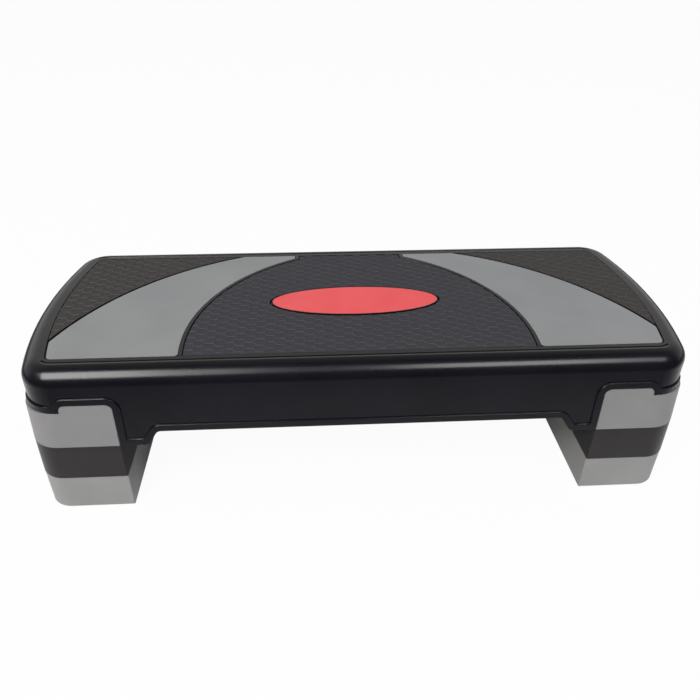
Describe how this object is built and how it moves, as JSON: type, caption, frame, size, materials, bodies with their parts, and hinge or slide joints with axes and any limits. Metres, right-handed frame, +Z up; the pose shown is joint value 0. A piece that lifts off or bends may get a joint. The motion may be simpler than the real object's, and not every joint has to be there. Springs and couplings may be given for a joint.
{
  "type": "aerobic step platform",
  "caption": "Low exercise step with a non-slip deck on two feet and stacking risers that lift off to change its height.",
  "frame": {"origin": "on the floor under the middle of the deck", "axes": "+X along the length of the deck, +Z up, front towards -Y"},
  "size_m": [0.7798, 0.308, 0.2005],
  "materials": {
    "deck_black": "satin",
    "tread_charcoal": "matte",
    "panel_grey": "matte",
    "leg_grey": "matte",
    "riser_charcoal": "matte",
    "badge_red": "satin",
    "pad_rubber": "matte",
    "screw_steel": "zinc plated"
  },
  "bodies": {
    "deck": {"deck_shell": "deck_black", "centre_tread": "tread_charcoal", "end_tread_left": "tread_charcoal", "end_tread_right": "tread_charcoal", "side_panel_left": "panel_grey", "side_panel_right": "panel_grey", "oval_badge": "badge_red", "foot_left": "leg_grey", "foot_right": "leg_grey", "foot_screws_left": "screw_steel", "foot_screws_right": "screw_steel", "foot_pads_left": "pad_rubber", "foot_pads_right": "pad_rubber"},
    "left_middle_riser": {"middle_riser_left": "riser_charcoal", "middle_riser_pads_left": "pad_rubber"},
    "right_middle_riser": {"middle_riser_right": "riser_charcoal", "middle_riser_pads_right": "pad_rubber"},
    "left_base_riser": {"base_riser_left": "leg_grey", "base_riser_pads_left": "pad_rubber"},
    "right_base_riser": {"base_riser_right": "leg_grey", "base_riser_pads_right": "pad_rubber"}
  },
  "joints": [
    {"name": "left_middle_lift_off", "type": "slide", "parent": "deck", "child": "left_middle_riser", "axis": [0, 0, -1], "range_m": [0, 0.06]},
    {"name": "right_middle_lift_off", "type": "slide", "parent": "deck", "child": "right_middle_riser", "axis": [0, 0, -1], "range_m": [0, 0.06]},
    {"name": "left_base_lift_off", "type": "slide", "parent": "left_middle_riser", "child": "left_base_riser", "axis": [0, 0, -1], "range_m": [0, 0.06]},
    {"name": "right_base_lift_off", "type": "slide", "parent": "right_middle_riser", "child": "right_base_riser", "axis": [0, 0, -1], "range_m": [0, 0.06]}
  ]
}
